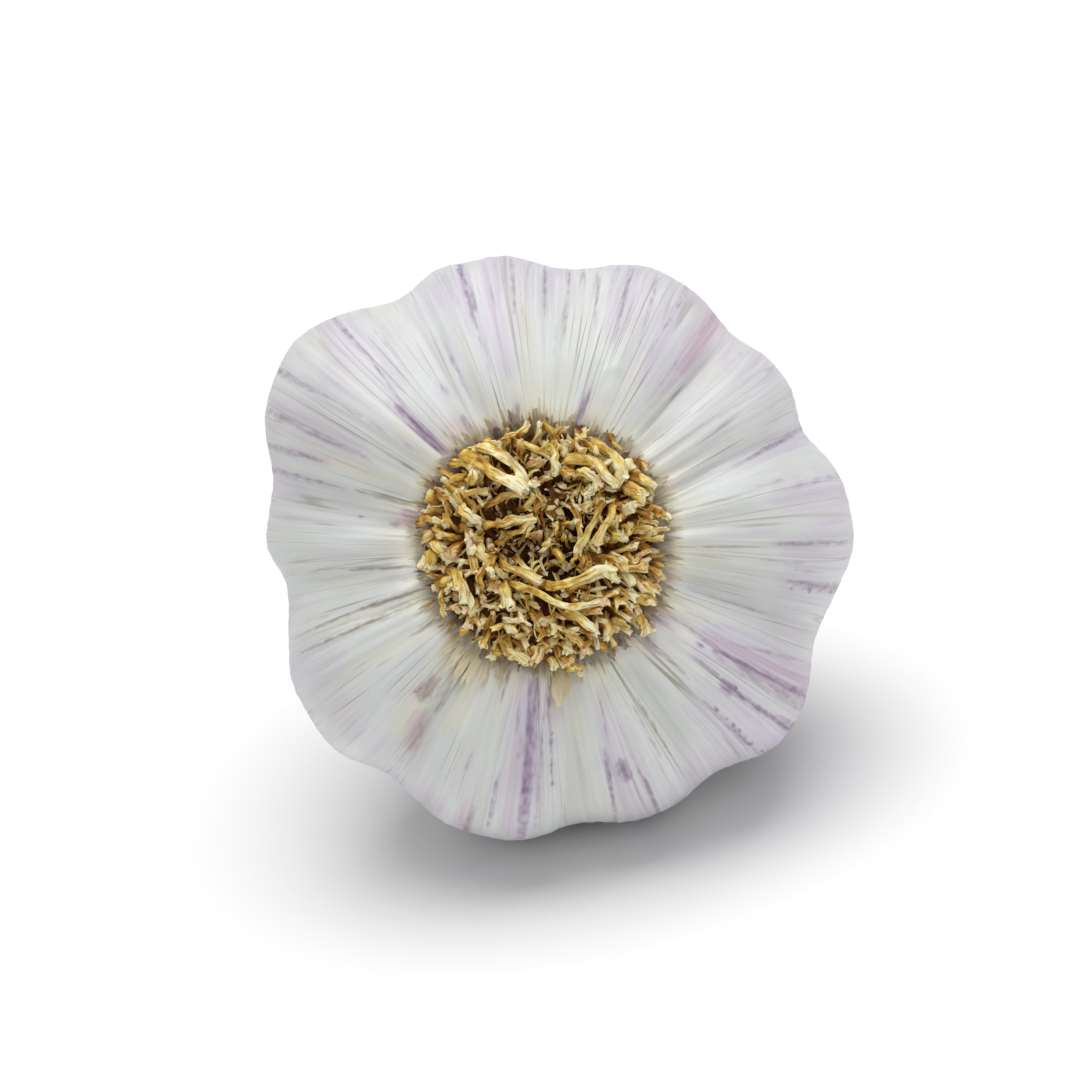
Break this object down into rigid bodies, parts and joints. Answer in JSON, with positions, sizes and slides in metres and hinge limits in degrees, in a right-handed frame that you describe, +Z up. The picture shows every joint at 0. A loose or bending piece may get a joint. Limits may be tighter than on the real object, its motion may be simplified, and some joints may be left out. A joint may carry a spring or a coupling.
{
  "type": "garlic bulb",
  "caption": "Whole garlic bulb in its papery skin, lying on its side with the trimmed root end turned up at a slant and the cut neck behind.",
  "frame": {"origin": "on the surface that the bulb lies on, under the middle of its box", "axes": "+Z up, -Y the side that the root end faces, turned up from level by 26.9 degrees, and +X to the right when looking at that end"},
  "size_m": [0.0598, 0.0736, 0.058],
  "materials": {
    "papery_skin": "satin dried papery leaf, off-white with lilac and purple streaks",
    "dried_root": "matt dried root fibre, golden brown with pale cut tips",
    "torn_leaf": "matt torn dried leaf, tan to dull purple"
  },
  "bodies": {
    "root": {"bulb": "papery_skin", "root_tuft": "dried_root", "torn_leaf_bases": "torn_leaf"}
  },
  "joints": []
}
